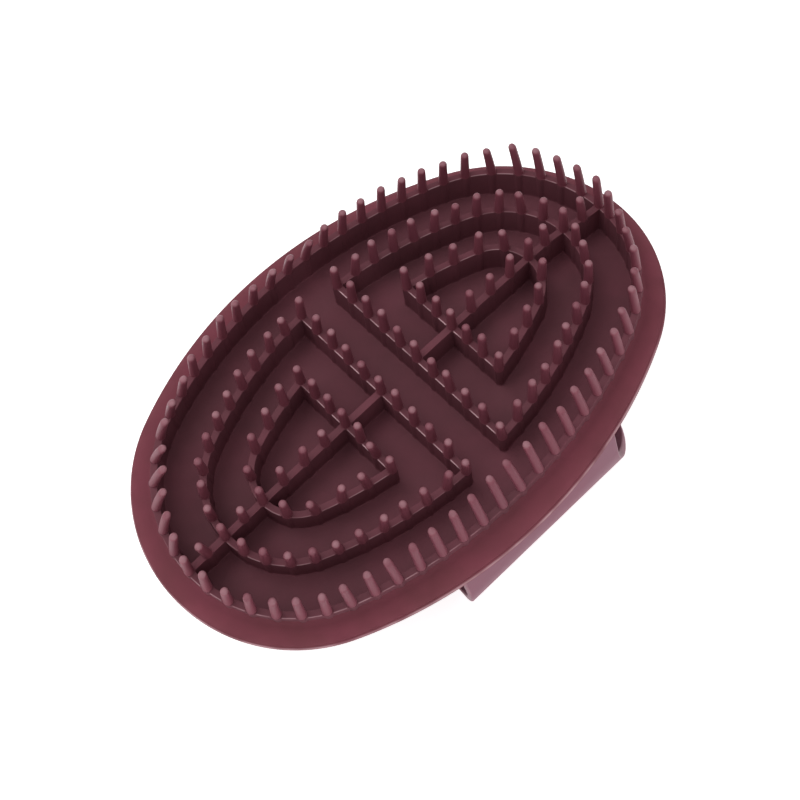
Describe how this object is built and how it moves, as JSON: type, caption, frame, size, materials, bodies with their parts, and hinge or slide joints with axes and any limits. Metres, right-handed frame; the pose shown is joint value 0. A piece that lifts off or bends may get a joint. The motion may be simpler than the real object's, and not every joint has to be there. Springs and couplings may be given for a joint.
{
  "type": "curry comb",
  "caption": "Oval rubber curry comb: a raised ring and nested D-shaped walls set with flexible pins, and a broad moulded hand strap across the back.",
  "frame": {"origin": "centre of the underside of the strap's flat crown, which is the lowest face and lies under the middle of the pad", "axes": "+X along the pad's length, +Y across the pad, +Z from the strap toward the tips of the pins"},
  "size_m": [0.165, 0.1084, 0.0499],
  "materials": {
    "pad_rubber": "satin moulded burgundy rubber",
    "pin_rubber": "satin moulded burgundy rubber",
    "strap_rubber": "smooth satin burgundy rubber"
  },
  "bodies": {
    "root": {"back_strap_root": "strap_rubber", "front_strap_root": "strap_rubber", "hand_strap": "strap_rubber", "left_bridge_rib": "pad_rubber", "left_end_rib": "pad_rubber", "left_inner_d_pins": "pin_rubber", "left_inner_d_wall": "pad_rubber", "left_inner_rib": "pad_rubber", "left_outer_d_pins": "pin_rubber", "left_outer_d_wall": "pad_rubber", "left_rib_pins": "pin_rubber", "left_tie_rib": "pad_rubber", "pad_floor": "pad_rubber", "pad_rim": "pad_rubber", "right_bridge_rib": "pad_rubber", "right_end_rib": "pad_rubber", "right_inner_d_pins": "pin_rubber", "right_inner_d_wall": "pad_rubber", "right_inner_rib": "pad_rubber", "right_outer_d_pins": "pin_rubber", "right_outer_d_wall": "pad_rubber", "right_rib_pins": "pin_rubber", "right_tie_rib": "pad_rubber", "ring_pins": "pin_rubber", "ring_wall": "pad_rubber"}
  },
  "joints": []
}
